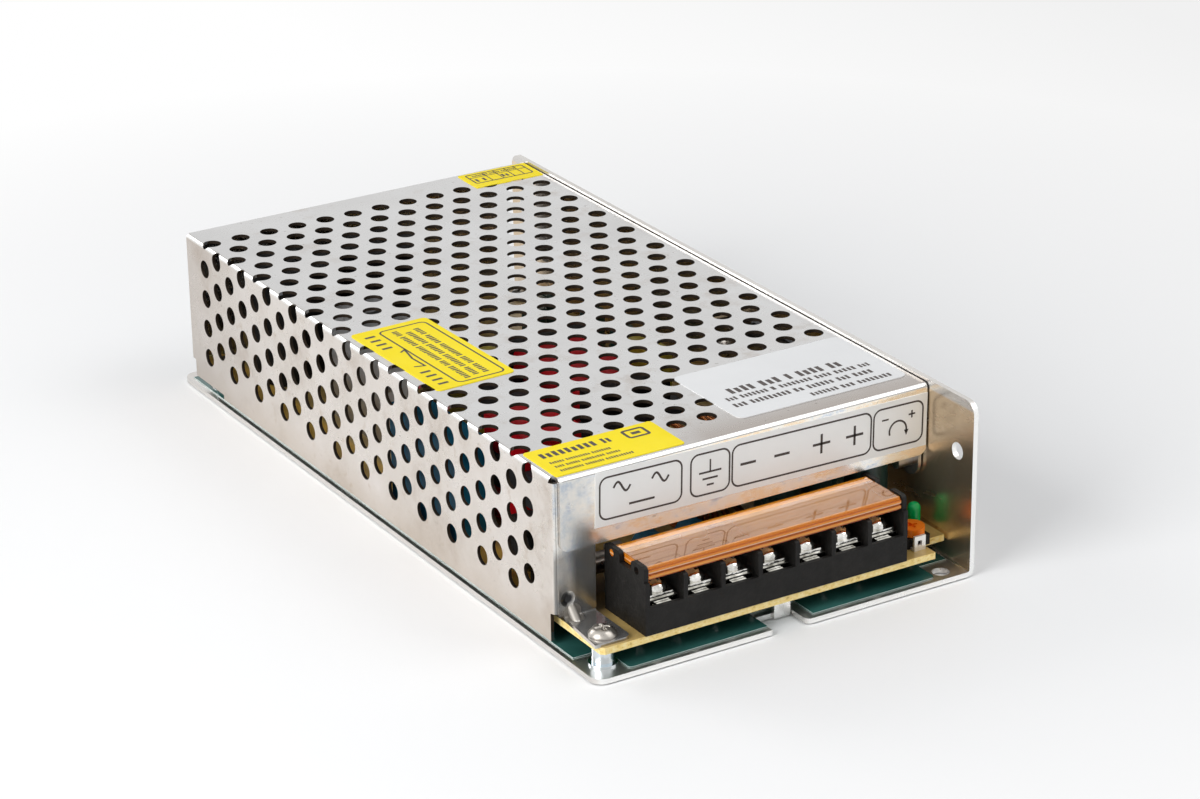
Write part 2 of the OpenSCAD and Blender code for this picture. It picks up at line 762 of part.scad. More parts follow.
module film_capacitor() {
    color([0.85, 0.7, 0.1]) translate([film_cap_at[0] - 3, film_cap_at[1] - 7, deck])
        linear_extrude(26) rounded_square(6, 14, 0.6);
}

choke_leg = 4;
choke_mid = 13;

module line_choke_core() {
    color([0.25, 0.25, 0.27]) translate([line_choke_at[0], line_choke_at[1], deck + choke_mid - 4])
        linear_extrude(8) difference() {
            translate([-7.5, -13]) square([15, 26]);
            for (x = [-5, 2]) translate([x, -9]) square([3, 18]);
        }
}

module line_choke_winding() {
    color([0.6, 0.05, 0.07]) translate([line_choke_at[0], line_choke_at[1], deck]) {
        difference() {
            translate([-4.9, -8.9, choke_mid - 12]) cube([9.8, 17.8, 24]);
            translate([-2, -10, choke_mid - 4]) cube([choke_leg, 20, 8]);
        }
        for (z = [choke_mid - 12, choke_mid + 4.1]) translate([-7.3, -8.9, z])
            cube([14.6, 17.8, 7.9]);
        for (x = [-6, 5], y = [-8, 7]) translate([x, y, 0]) cube([1, 1, 1.1]);
    }
}

module bridge_rectifier() {
    color([0.12, 0.12, 0.13]) translate([bridge_at[0] - 11, bridge_at[1] - 2, deck]) {
        translate([0, 0, 4]) cube([22, 4, 15]);
        for (x = [2, 7.5, 13, 18.5]) translate([x, 1.4, 0]) cube([1.4, 1.2, 4.1]);
    }
}

module bulk_capacitors() {
    color([0.1, 0.1, 0.12]) for (x = [bulk_x, bulk_x + bulk_d + 2])
        translate([x, bulk_y, deck]) can(bulk_d, bulk_h);
}

// Main transformer: bobbin, taped winding and a core that closes around it level with the board
tr_w = 31;
tr_l = 42;
tr_wind = 19;
tr_leg = 9;
tr_yoke = 5;
tr_mid = 3 + (transformer_h - 4)/2;

module transformer_core() {
    window_l = tr_l - 2*tr_yoke;
    window_w = (tr_w - tr_leg)/2 - 4;
    color([0.2, 0.2, 0.22]) translate([transformer_at[0], transformer_at[1], deck + tr_mid - 5.5])
        linear_extrude(11) difference() {
            translate([-tr_w/2, -tr_l/2]) square([tr_w, tr_l]);
            for (x = [-tr_leg/2 - window_w, tr_leg/2])
                translate([x, -window_l/2]) square([window_w, window_l]);
        }
}

module transformer_bobbin() {
    color([0.12, 0.12, 0.13]) translate([transformer_at[0], transformer_at[1], deck])
        for (y = [-tr_l/2 + 0.4, tr_l/2 - 5.4]) translate([-tr_wind/2 - 1, y, 0]) {
            cube([tr_wind + 2, 5, tr_mid - 5.6]);
            translate([0, 0, tr_mid + 5.6]) cube([tr_wind + 2, 5, transformer_h - tr_mid - 5.6]);
        }
}

module transformer_winding() {
    wind_l = tr_l - 2*tr_yoke - 1;
    color([0.75, 0.05, 0.08]) translate([transformer_at[0], transformer_at[1], deck + tr_mid]) {
        difference() {
            translate([-tr_wind/2 + 2.5, -wind_l/2, -5.9]) cube([tr_wind - 5, wind_l, 11.8]);
            translate([-tr_leg/2, -wind_l, -5.5]) cube([tr_leg, 2*wind_l, 11]);
        }
        for (s = [-1, 1]) translate([0, wind_l/2, s*8.8]) rotate([90, 0, 0]) linear_extrude(wind_l)
            translate([-tr_wind/2, -3.1]) rounded_square(tr_wind, 6.2, 1.5);
    }
}

module driver_transformer() {
    color([0.75, 0.62, 0.1]) translate([driver_at[0] - 9, driver_at[1] - 9, deck]) difference() {
        union() {
            translate([0, 0, 1]) linear_extrude(15) rounded_square(18, 18, 1);
            for (y = [0.5, 14.5]) translate([1, y, 0]) cube([16, 3, 1.1]);
        }
        for (z = [5.5, 10.5]) translate([-1, 2, z]) cube([2, 14, 0.8]);
    }
}

sink_t = 2;
sink_l = 40;
transistor_places = [10, 30];
transistor_z = 14;

module primary_heat_sink() {
    color([0.7, 0.71, 0.72]) translate([sink_at[0], sink_at[1], deck]) difference() {
        union() {
            cube([sink_t, sink_l, sink_h]);
            translate([0, 0, sink_h - sink_t]) cube([14, sink_l, sink_t]);
        }
        for (y = transistor_places) translate([-1, y, transistor_z + 3.2]) rotate([0, 90, 0])
            cylinder(d = screw_d + 0.1, h = 4);
        for (y = [2.5:3.9:sink_l - 3]) translate([5, y, sink_h - sink_t - 1]) cube([7, 1.4, 4]);
    }
}

module switching_transistors() {
    color([0.12, 0.12, 0.13]) for (y = transistor_places)
        translate([sink_at[0] + sink_t, sink_at[1] + y - 5, deck]) difference() {
            union() {
                translate([0, 0, 5]) cube([4.4, 10, 9]);
                translate([0, 0, 14 - e]) cube([1.4, 10, 6.4]);
                for (dy = [1.9, 4.45, 7]) translate([2, dy, 0]) cube([0.6, 1.1, 5 + e]);
            }
            translate([-1, 5, transistor_z + 3.2]) rotate([0, 90, 0])
                cylinder(d = screw_d + 0.1, h = 4);
        }
}

module transistor_screws() {
    color("silver") for (y = transistor_places)
        translate([sink_at[0] + sink_t + 1.4, sink_at[1] + y, deck + transistor_z + 3.2])
            rotate([0, 90, 0]) dome_screw(5.6, 2, screw_d, sink_t + 2.4);
}

pad_t = 0.3;
rectifier_t = 4.8;
clamp_t = 1.2;
bar_x = wall_in - pad_t - rectifier_t - clamp_t;

module rectifier_pad() {
    color([0.75, 0.75, 0.78]) translate([wall_in - pad_t, rectifier_y - 9, deck + 4])
        cube([pad_t, 18, 22]);
}

module output_rectifier() {
    color([0.12, 0.12, 0.13]) translate([wall_in - pad_t - rectifier_t, rectifier_y - 7.8, deck]) {
        translate([0, 0, 5]) cube([rectifier_t, 15.6, 20]);
        for (y = [1.8, 7.3, 12.8]) translate([2, y, 0]) cube([0.6, 1.2, 5 + e]);
    }
}

module rectifier_clamp() {
    color("silver") difference() {
        union() {
            translate([bar_x, rectifier_y - 7, clamp_z - 5]) cube([clamp_t, 25, 10]);
            translate([bar_x, rectifier_y + 18 - clamp_t, clamp_z - 5])
                cube([wall_in - bar_x, clamp_t, 10]);
        }
        translate([bar_x - 1, clamp_y0, clamp_z]) rotate([0, 90, 0])
            cylinder(d = screw_d + 0.1, h = 4);
    }
}

module clamp_screw() {
    color("silver") translate([bar_x, clamp_y0, clamp_z]) rotate([0, -90, 0])
        dome_screw(5.6, 2, screw_d, wall_in - bar_x + 1);
}

// Output choke: a ring that stands upright, wound with thick wire
choke_h = 9.6;
choke_wire = 1.5;
choke_core_d = choke_d - 2*choke_wire - 0.2;
choke_hole_d = choke_core_d*0.57;
choke_z = deck + choke_d/2 + 0.2;

module output_choke_core() {
    color([0.85, 0.75, 0.3]) translate([choke_at[0], choke_at[1] + choke_h/2, choke_z])
        rotate([90, 0, 0]) difference() {
            cylinder(d = choke_core_d, h = choke_h);
            translate([0, 0, -1]) cylinder(d = choke_hole_d, h = choke_h + 2);
        }
}

// One turn of wire around the ring
module choke_turn() {
    inner = choke_hole_d/2 - choke_wire/2;
    outer = choke_core_d/2 + choke_wire/2;
    for (z = [-choke_wire/2, choke_h + choke_wire/2])
        translate([inner, 0, z]) rotate([0, 90, 0]) cylinder(d = choke_wire, h = outer - inner);
    for (x = [inner, outer]) translate([x, 0, -choke_wire/2]) {
        cylinder(d = choke_wire, h = choke_h + choke_wire);
        sphere(d = choke_wire);
        translate([0, 0, choke_h + choke_wire]) sphere(d = choke_wire);
    }
}

module output_choke_winding() {
    color([0.8, 0.42, 0.16]) translate([choke_at[0], choke_at[1], choke_z]) {
        rotate([90, 0, 0]) translate([0, 0, -choke_h/2]) for (i = [0:20])
            rotate(90 + i*360/21) choke_turn();
        for (x = [-choke_d/2 + 2.6, choke_d/2 - 2.6]) translate([x, choke_h/2 + choke_wire/2, 0])
            translate([0, 0, deck - choke_z]) cylinder(d = choke_wire, h = choke_z - deck - 2);
    }
}

module output_capacitors() {
    color([0.08, 0.22, 0.18]) {
        for (i = [0:2]) translate([out_cap_x - i*(out_cap_d + 2), out_cap_y, deck])
            can(out_cap_d, out_cap_h);
        translate([out_cap_x - 8, out_cap_y + 18, deck]) can(13, out_cap_h + 2);
    }
}

module controller_chip() {
    color([0.1, 0.1, 0.1]) translate([chip_at[0], chip_at[1], deck]) {
        translate([0, 0, 1]) cube([6.4, 19.4, 3.4]);
        for (i = [0:7], x = [-0.6, 6.4 - e]) translate([x, 0.6 + i*2.54, 0]) cube([0.6 + e, 0.5, 2.6]);
    }
}

module power_resistors() {
    color([0.72, 0.6, 0.42]) for (p = resistor_at) translate([p[0], p[1], deck + 2.4]) {
        rotate([0, 90, 0]) rotate_extrude() {
            square([2, 12]);
            for (z = [0, 9]) translate([0, z]) square([2.3, 3]);
        }
        for (x = [-1.4, 12.6]) translate([x, 0, -2.4]) cylinder(d = 0.8, h = 2.8);
        translate([-1.4, 0, 0]) rotate([0, 90, 0]) cylinder(d = 0.8, h = 14.4);
    }
}

module small_capacitors() {
    color([0.1, 0.12, 0.3]) for (p = small_at) translate([p[0], p[1], deck]) can(6.3, 11);
}

// Joints under the board, one for each lead
solder_h = 1.3;
block_pins = [for (i = [0:ways - 1], y = [4, 11]) [way0_x + i*way_pitch, block_y + y]];
transformer_pins = [for (i = [0:3], y = [-19, 19])
    [transformer_at[0] - 7.5 + 5*i, transformer_at[1] + y]];
bulk_pins = [for (i = [0, 1], x = [-5, 5]) [bulk_x + i*(bulk_d + 2) + x, bulk_y]];
out_pins = [for (i = [0:2], x = [-2.5, 2.5]) [out_cap_x - i*(out_cap_d + 2) + x, out_cap_y]];
lamp_pins = [[led_x - 1.3, led_y], [led_x + 1.3, led_y]];
x_cap_pins = [[x_cap_at[0], x_cap_at[1] - 13], [x_cap_at[0], x_cap_at[1] + 13]];
chip_pins = [for (i = [0:7], x = [-0.3, 6.7]) [chip_at[0] + x, chip_at[1] + 0.85 + i*2.54]];

module solder_joints() {
    color("silver") for (p = concat(block_pins, transformer_pins, bulk_pins, out_pins, lamp_pins,
            x_cap_pins))
        translate([p[0], p[1], pcb_z - solder_h])
            cylinder(r1 = 0.4, r2 = 1.1, h = solder_h, $fn = 16);
    color("silver") for (p = chip_pins) translate([p[0], p[1], pcb_z - 0.8])
        cylinder(r1 = 0.3, r2 = 0.7, h = 0.8, $fn = 16);
}

chassis();
insulating_film();
standoffs();
pcb();
pcb_screws();
cover();
cover_screw();
side_screws();
legend_label();
rating_label();
front_notice();
side_notice();
rear_notice();
terminal_block();
terminal_cover();
terminal_screws();
terminal_washers();
terminal_plates();
trimmer_base();
trimmer_rotor();
trimmer_wiper();
led();
fuse();
fuse_holder();
thermistor();
x_capacitor();
y_capacitors();
film_capacitor();
line_choke_core();
line_choke_winding();
bridge_rectifier();
bulk_capacitors();
transformer_core();
transformer_bobbin();
transformer_winding();
driver_transformer();
primary_heat_sink();
switching_transistors();
transistor_screws();
output_rectifier();
rectifier_pad();
rectifier_clamp();
clamp_screw();
output_choke_core();
output_choke_winding();
output_capacitors();
controller_chip();
power_resistors();
small_capacitors();
solder_joints();
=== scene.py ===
"""Mesh case switching power supply: looks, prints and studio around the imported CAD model."""
import bpy
import bmesh
import math
from mathutils import Matrix, Vector


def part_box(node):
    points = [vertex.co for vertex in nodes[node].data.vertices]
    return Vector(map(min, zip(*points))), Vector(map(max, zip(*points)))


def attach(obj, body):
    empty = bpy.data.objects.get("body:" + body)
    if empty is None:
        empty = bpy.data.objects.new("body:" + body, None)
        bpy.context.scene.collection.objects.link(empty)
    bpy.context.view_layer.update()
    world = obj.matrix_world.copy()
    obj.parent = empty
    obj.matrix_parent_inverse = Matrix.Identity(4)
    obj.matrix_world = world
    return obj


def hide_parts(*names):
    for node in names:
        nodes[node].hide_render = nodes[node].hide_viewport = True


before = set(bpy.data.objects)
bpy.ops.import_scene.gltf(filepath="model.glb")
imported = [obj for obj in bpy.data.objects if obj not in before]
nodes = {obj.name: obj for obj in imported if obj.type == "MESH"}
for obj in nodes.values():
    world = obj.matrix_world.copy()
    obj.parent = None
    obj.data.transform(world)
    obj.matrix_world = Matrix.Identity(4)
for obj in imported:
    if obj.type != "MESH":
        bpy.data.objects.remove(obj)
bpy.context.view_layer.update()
MM = 0.001


# Materials

def material(name, color, rough=0.5, metal=0.0, **sockets):
    """A material with one Principled shader, uniform values on its own sockets."""
    mat = bpy.data.materials.new(name)
    mat.use_nodes = True
    tree = mat.node_tree
    shader = tree.nodes["Principled BSDF"]
    shader.inputs["Base Color"].default_value = (*color, 1)
    shader.inputs["Roughness"].default_value = rough
    shader.inputs["Metallic"].default_value = metal
    for key, value in sockets.items():
        shader.inputs[key.replace("_", " ")].default_value = value
    return mat, tree, shader


def add(tree, kind, **values):
    """A node with the given properties or socket values."""
    node = tree.nodes.new(kind)
    for key, value in values.items():
        if hasattr(node, key):
            setattr(node, key, value)
        else:
            node.inputs[key.replace("_", " ")].default_value = value
    return node


def noise(tree, scale, detail=3.0, rough=0.55, stretch=None):
    """Noise over the object's own coordinates, in metres."""
    coord = add(tree, "ShaderNodeTexCoord")
    source = coord.outputs["Object"]
    if stretch:
        mapping = add(tree, "ShaderNodeMapping")
        mapping.inputs["Scale"].default_value = stretch
        tree.links.new(source, mapping.inputs["Vector"])
        source = mapping.outputs["Vector"]
    tex = add(tree, "ShaderNodeTexNoise", Scale=scale, Detail=detail, Roughness=rough)
    tree.links.new(source, tex.inputs["Vector"])
    return tex.outputs["Fac"]


def ramp(tree, source, stops):
    """Colour ramp; stops are (position, colour)."""
    node = add(tree, "ShaderNodeValToRGB")
    elements = node.color_ramp.elements
    while len(elements) < len(stops):
        elements.new(0.5)
    for element, (place, color) in zip(elements, stops):
        element.position = place
        element.color = (*color, 1)
    tree.links.new(source, node.inputs["Fac"])
    return node.outputs["Color"]


def value_range(tree, source, low, high, from_low=0.3, from_high=0.7):
    """Carries the range from_low to from_high over to low to high, clamped."""
    node = add(tree, "ShaderNodeMapRange")
    tree.links.new(source, node.inputs["Value"])
    for key, value in (("From Min", from_low), ("From Max", from_high), ("To Min", low), ("To Max", high)):
        node.inputs[key].default_value = value
    return node.outputs["Result"]


def rises(tree, source, start, end):
    """0 before the start, 1 past the end."""
    return value_range(tree, source, 0, 1, start, end)


def falls(tree, source, start, end):
    """1 before the start, 0 past the end."""
    return value_range(tree, source, 1, 0, start, end)


def math_node(tree, kind, a, b):
    """A math node over two sockets or numbers."""
    node = add(tree, "ShaderNodeMath", operation=kind)
    for socket, value in zip(node.inputs, (a, b)):
        if isinstance(value, (int, float)):
            socket.default_value = value
        else:
            tree.links.new(value, socket)
    return node.outputs[0]


def both(tree, *masks):
    """The product of the masks."""
    result = masks[0]
    for other in masks[1:]:
        result = math_node(tree, "MULTIPLY", result, other)
    return result


def either(tree, *masks):
    """The larger one of the masks."""
    result = masks[0]
    for other in masks[1:]:
        result = math_node(tree, "MAXIMUM", result, other)
    return result


def mix(tree, factor, a, b):
    """Colour a where the factor is 0, b where it is 1."""
    node = add(tree, "ShaderNodeMix", data_type="RGBA", blend_type="MIX")
    for socket, value in ((node.inputs[0], factor), (node.inputs[6], a), (node.inputs[7], b)):
        if isinstance(value, (int, float)):
            socket.default_value = value
        elif isinstance(value, tuple):
            socket.default_value = (*value, 1)
        else:
            tree.links.new(value, socket)
    return node.outputs[2]


def bump(tree, shader, height, strength, distance=0.0002, under=None):
    """Adds a relief to the shader, over another relief where one is given."""
    node = add(tree, "ShaderNodeBump")
    node.inputs["Strength"].default_value = strength
    node.inputs["Distance"].default_value = distance
    tree.links.new(height, node.inputs["Height"])
    if under:
        tree.links.new(under.outputs["Normal"], node.inputs["Normal"])
    tree.links.new(node.outputs["Normal"], shader.inputs["Normal"])
    return node


def axes(tree, node_type="ShaderNodeTexCoord", output="Object"):
    """The X, Y and Z of a vector output, by default the object's own coordinates in metres."""
    source = add(tree, node_type)
    parts = add(tree, "ShaderNodeSeparateXYZ")
    tree.links.new(source.outputs[output], parts.inputs["Vector"])
    return parts.outputs["X"], parts.outputs["Y"], parts.outputs["Z"]


def normal_axes(tree):
    """The X, Y and Z of the surface's normal."""
    return axes(tree, "ShaderNodeNewGeometry", "Normal")


def near(tree, point, inner, outer):
    """1 within the inner distance of a point, 0 beyond the outer one."""
    coord = add(tree, "ShaderNodeTexCoord")
    node = add(tree, "ShaderNodeVectorMath", operation="DISTANCE")
    tree.links.new(coord.outputs["Object"], node.inputs[0])
    node.inputs[1].default_value = point
    return falls(tree, node.outputs["Value"], inner, outer)


def shade(name, dark, light, rough, metal=0.0, scale=60, rough_var=0.08, bump_scale=900, bump_by=0.08,
          stretch=None, **sockets):
    """General finish: mottled colour, uneven roughness and a fine bump."""
    mat, tree, shader = material(name, light, rough, metal, **sockets)
    mottle = noise(tree, scale, 5, 0.6, stretch)
    tree.links.new(ramp(tree, mottle, [(0.32, dark), (0.68, light)]), shader.inputs["Base Color"])
    uneven = value_range(tree, noise(tree, scale*2.3, 4, 0.6, stretch), rough - rough_var, rough + rough_var)
    tree.links.new(uneven, shader.inputs["Roughness"])
    bump(tree, shader, noise(tree, bump_scale, 3, 0.6, stretch), bump_by)
    return mat


def cover_top(tree, x, y, lo):
    """Cloudy tin with warm spots, darker brown towards the front right."""
    clouds = ramp(tree, noise(tree, 42, 6, 0.62),
                  [(0.3, (0.60, 0.595, 0.59)), (0.5, (0.64, 0.635, 0.63)), (0.72, (0.67, 0.67, 0.67))])
    warm = value_range(tree, noise(tree, 90, 6, 0.7), 0, 0.7, 0.55, 0.76)
    top = mix(tree, warm, clouds, (0.46, 0.40, 0.35))
    # Darker brown towards the front right
    front_right_darkening = both(tree, falls(tree, y, lo.y + 0.016, lo.y + 0.030),
                value_range(tree, x, 0, 0.8, lo.x + 0.028, lo.x + 0.040))
    return mix(tree, front_right_darkening, top, (0.40, 0.35, 0.31))


def cover_wall(tree, y, z, lo, hi):
    """Warm stained wall, with painted shade making it browner along its foot and darker towards the back."""
    wall = ramp(tree, noise(tree, 55, 7, 0.68),
                [(0.3, (0.54, 0.47, 0.41)), (0.46, (0.68, 0.63, 0.58)), (0.7, (0.745, 0.70, 0.665))])
    # Painted shade: the wall turns browner along its foot
    ragged = math_node(tree, "ADD", z, both(tree, noise(tree, 60, 5, 0.7), 0.012))
    foot = value_range(tree, ragged, 0.6, 0, lo.z + 0.005, lo.z + 0.014)
    wall = mix(tree, foot, wall, (0.50, 0.42, 0.34))
    stains = value_range(tree, noise(tree, 260, 5, 0.7), 0, 0.5, 0.6, 0.74)
    wall = mix(tree, stains, wall, (0.42, 0.31, 0.20))
    # Painted shade: the wall darkens towards the back
    back = value_range(tree, y, 0, 0.45, hi.y - 0.050, hi.y)
    return mix(tree, back, wall, (0.36, 0.31, 0.27))


def cover_lip(tree, x, z, lo):
    """Heat tints on the lip, greyer on the column at its left, with a painted dark reflection in upright
    streaks over its foot.
    """
    tinted = ramp(tree, noise(tree, 150, 7, 0.72, (0.6, 1, 1.3)),
                  [(0.36, (0.62, 0.70, 0.82)), (0.44, (0.96, 0.95, 0.92)), (0.52, (1.0, 0.93, 0.82)),
                   (0.60, (1.0, 0.80, 0.56)), (0.66, (0.98, 0.92, 0.82))])
    grey = ramp(tree, noise(tree, 190, 6, 0.7),
                [(0.38, (0.50, 0.55, 0.62)), (0.50, (0.70, 0.70, 0.68)), (0.62, (0.80, 0.76, 0.70))])
    lip = mix(tree, rises(tree, x, lo.x + 0.006, lo.x + 0.013), grey, tinted)
    # Painted dark reflection in upright streaks over the lower part of the lip
    reflection_streaks = value_range(tree, noise(tree, 120, 3, 0.5, (1, 1, 0.12)), 0.15, 0.8, 0.38, 0.6)
    no_dark_reflection = either(tree, reflection_streaks, rises(tree, z, lo.z + 0.018, lo.z + 0.022))
    return mix(tree, no_dark_reflection, (0.13, 0.125, 0.12), lip)


def hole_cuts(tree, place, normal, lo, hi):
    """1 on the cut edges of the vents, in the top plate and in the wall."""
    x, y, z = place
    across, up = normal[0], normal[2]
    # Edges inside the sheet's thickness; the bends and the front fold keep their own colour
    past_front = rises(tree, y, lo.y + 0.004, lo.y + 0.0041)
    in_top = both(tree, rises(tree, z, hi.z - 0.0009, hi.z - 0.00082),
                  falls(tree, math_node(tree, "ABSOLUTE", up, 0), 0.3, 0.5),
                  rises(tree, x, lo.x + 0.002, lo.x + 0.0021), past_front)
    in_wall = both(tree, falls(tree, x, lo.x + 0.00082, lo.x + 0.0009),
                   falls(tree, math_node(tree, "ABSOLUTE", across, 0), 0.3, 0.5),
                   rises(tree, z, lo.z + 0.002, lo.z + 0.0021), past_front)
    return either(tree, in_top, in_wall)


def cover_steel():
    """Tin plated steel: cloudy top, warm stained wall, heat tints on the lip, painted highlights on the
    bends, painted shade in the pressed dimple and over the rib, and dark brown cut edges in the holes
    deepened with painted shade.
    """
    mat, tree, shader = material("cover_steel", (0.66, 0.65, 0.64), 0.3, 0.9)
    normal = normal_axes(tree)
    place = axes(tree)
    nx, ny, nz = normal
    x, y, z = place
    lo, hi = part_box("cover")
    dent = Vector((lo.x + 0.0034, lo.y + 0.0145, lo.z + 0.0098))
    rib = Vector((lo.x + 0.0044, lo.y + 0.0137, lo.z + 0.0063))
    color = mix(tree, rises(tree, nx, -0.4, -0.75), cover_top(tree, x, y, lo), cover_wall(tree, y, z, lo, hi))
    color = mix(tree, rises(tree, ny, -0.5, -0.8), color, cover_lip(tree, x, z, lo))
    # Painted highlight along the bends
    bend_highlight = both(tree, rises(tree, nz, 0.2, 0.45), falls(tree, nz, 0.9, 0.97))
    color = mix(tree, bend_highlight, color, (0.80, 0.79, 0.77))
    # Painted shade in the pressed dimple
    color = mix(tree, near(tree, dent, 0.0009, 0.0016), color, (0.07, 0.07, 0.073))
    # Painted shade over the rib, dulling the highlight on its bend
    color = mix(tree, near(tree, rib, 0.0019, 0.0030), color, (0.34, 0.32, 0.29))
    specks = value_range(tree, noise(tree, 950, 2, 0.5), 0, 0.5, 0.70, 0.76)
    color = mix(tree, specks, color, (0.22, 0.19, 0.16))
    # The holes' cut edges are painted dark brown: bare steel deepened with painted shade
    cut = hole_cuts(tree, place, normal, lo, hi)
    tree.links.new(mix(tree, cut, color, (0.045, 0.033, 0.024)), shader.inputs["Base Color"])
    smooth_foot = both(tree, value_range(tree, z, 0.6, 1, lo.z + 0.005, lo.z + 0.012),
                       value_range(tree, y, 0.8, 1, lo.y + 0.012, lo.y + 0.02))
    rough = both(tree, value_range(tree, noise(tree, 70, 6, 0.7), 0.20, 0.34), smooth_foot)
    rough = either(tree, rough, both(tree, near(tree, rib, 0.0019, 0.0028), 0.55), both(tree, cut, 0.6))
    tree.links.new(rough, shader.inputs["Roughness"])
    hollow = falls(tree, near(tree, dent, 0.0008, 0.0018), 0, 1)
    pressed = bump(tree, shader, hollow, 0.8, 0.0005)
    bump(tree, shader, noise(tree, 320, 5, 0.65), 0.12, 0.0001, pressed)
    return mat


def sheet_aluminium():
    """Mill finish sheet with drawn lines, handling marks and a painted highlight on its front faces; the side
    wall's inner face is duller and carries a warm painted reflection.
    """
    mat, tree, shader = material("aluminium_sheet", (0.7, 0.69, 0.67), 0.22, 0.95)
    nx, ny, nz = normal_axes(tree)
    x, y, z = axes(tree)
    grain = ramp(tree, noise(tree, 45, 5, 0.65, (1, 0.15, 1)),
                 [(0.32, (0.60, 0.57, 0.54)), (0.68, (0.74, 0.725, 0.70))])
    # Painted highlight: faces turned to the front are near white
    grain = mix(tree, rises(tree, ny, -0.6, -0.85), grain, (0.94, 0.94, 0.925))
    marks = value_range(tree, noise(tree, 70, 6, 0.7), 0, 0.7, 0.5, 0.72)
    # Warm painted reflection on the side wall's inner face, mottled by the handling marks
    inner = mix(tree, marks, (0.66, 0.52, 0.36), (1.0, 0.86, 0.68))
    # The side wall's inner face, up to its rounded top edge
    faces_in = both(tree, rises(tree, x, 0.0465, 0.047), falls(tree, z, 0.0392, 0.0398),
                    rises(tree, nx, -0.5, -0.8))
    tree.links.new(mix(tree, faces_in, grain, inner), shader.inputs["Base Color"])
    front_ledge = both(tree, falls(tree, y, -0.090, -0.080), rises(tree, nz, 0.8, 0.9))
    rough = either(tree, value_range(tree, noise(tree, 130, 5, 0.65, (1, 0.3, 1)), 0.14, 0.32),
                   both(tree, front_ledge, 0.30), both(tree, faces_in, 0.27))
    tree.links.new(rough, shader.inputs["Roughness"])
    bump(tree, shader, noise(tree, 900, 3, 0.6, (1, 0.15, 1)), 0.07)
    return mat


def board():
    """Bare paper laminate: ochre top with painted shade behind the block and a painted lit strip along the
    left wall, green underside, pale broken edges.
    """
    mat, tree, shader = material("circuit_board", (0.6, 0.42, 0.16), 0.35)
    nz = normal_axes(tree)[2]
    x, y = axes(tree)[:2]
    edge = ramp(tree, noise(tree, 700, 4, 0.7, (1, 1, 1.5)),
                [(0.30, (0.50, 0.33, 0.09)), (0.42, (0.86, 0.63, 0.20)), (0.66, (0.95, 0.80, 0.42))])
    top = ramp(tree, noise(tree, 120, 5, 0.6), [(0.35, (0.42, 0.28, 0.09)), (0.65, (0.62, 0.44, 0.16))])
    # Painted shade on the board behind the terminal block
    shade_behind_block = both(tree, value_range(tree, y, 0, 0.85, -0.0900, -0.0800),
                        falls(tree, y, -0.070, -0.050), falls(tree, x, 0.030, 0.034))
    top = mix(tree, shade_behind_block, top, (0.055, 0.028, 0.008))
    # Painted light: a brighter strip of the board top along the left wall
    lit_left_strip = both(tree, falls(tree, x, -0.0400, -0.0385), rises(tree, y, -0.080, -0.070))
    top = mix(tree, lit_left_strip, top, (1.0, 0.62, 0.13))
    upper = mix(tree, rises(tree, nz, 0.4, 0.6), edge, top)
    tree.links.new(mix(tree, rises(tree, nz, -0.4, -0.6), upper, (0.03, 0.13, 0.06)),
                   shader.inputs["Base Color"])
    bump(tree, shader, noise(tree, 500, 4, 0.6), 0.15)
    return mat


def amber():
    """Clear tinted moulding: glossy brown over the flat top, deep orange in the thick rims, with painted
    highlight and shade lines on the front.
    """
    mat, tree, shader = material("amber_clear", (0.9, 0.5, 0.2), 0.05, Transmission_Weight=0.35, IOR=1.5,
                                 Specular_IOR_Level=0.3, Coat_Weight=1.0, Coat_IOR=2.1, Coat_Roughness=0.012)
    nz = normal_axes(tree)[2]
    y, z = axes(tree)[1:]
    lo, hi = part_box("terminal_cover")
    rim = either(tree, falls(tree, z, hi.z - 0.0005, hi.z - 0.0002),
                 rises(tree, y, hi.y - 0.0030, hi.y - 0.0026),
                 falls(tree, y, lo.y + 0.0008, lo.y + 0.0012))
    # Painted highlight and painted shade lines across the front's ridges and the plate's thickness
    edge = ramp(tree, rises(tree, z, lo.z, hi.z),
                [(0.08, (0.50, 0.10, 0.005)), (0.18, (1.0, 0.44, 0.06)), (0.32, (1.0, 0.32, 0.02)),
                 (0.38, (0.45, 0.10, 0.005)), (0.52, (1.0, 0.34, 0.025)), (0.56, (1.0, 0.85, 0.68)),
                 (0.60, (1.0, 0.40, 0.04)), (0.74, (0.95, 0.26, 0.012)), (0.78, (0.50, 0.12, 0.005)),
                 (0.84, (1.0, 0.34, 0.02)), (1.0, (1.0, 0.38, 0.035))])
    body = ramp(tree, noise(tree, 35, 3, 0.5), [(0.35, (0.42, 0.16, 0.035)), (0.65, (0.58, 0.25, 0.06))])
    tree.links.new(mix(tree, rim, body, edge), shader.inputs["Base Color"])
    tree.links.new(value_range(tree, noise(tree, 260, 4, 0.6), 0.02, 0.07), shader.inputs["Roughness"])
    bump(tree, shader, noise(tree, 60, 2, 0.4), 0.03, 0.0002)
    # The moulding's top is slightly bowed, so its clear coat leans forward
    geometry = add(tree, "ShaderNodeNewGeometry")
    lean = add(tree, "ShaderNodeVectorMath", operation="ADD")
    tree.links.new(geometry.outputs["Normal"], lean.inputs[0])
    lean.inputs[1].default_value = (0, -0.13, 0)
    unit = add(tree, "ShaderNodeVectorMath", operation="NORMALIZE")
    tree.links.new(lean.outputs[0], unit.inputs[0])
    tree.links.new(unit.outputs[0], shader.inputs["Coat Normal"])
    tree.links.new(value_range(tree, nz, 0.12, 1, 0.6, 0.9), shader.inputs["Coat Weight"])
    return mat


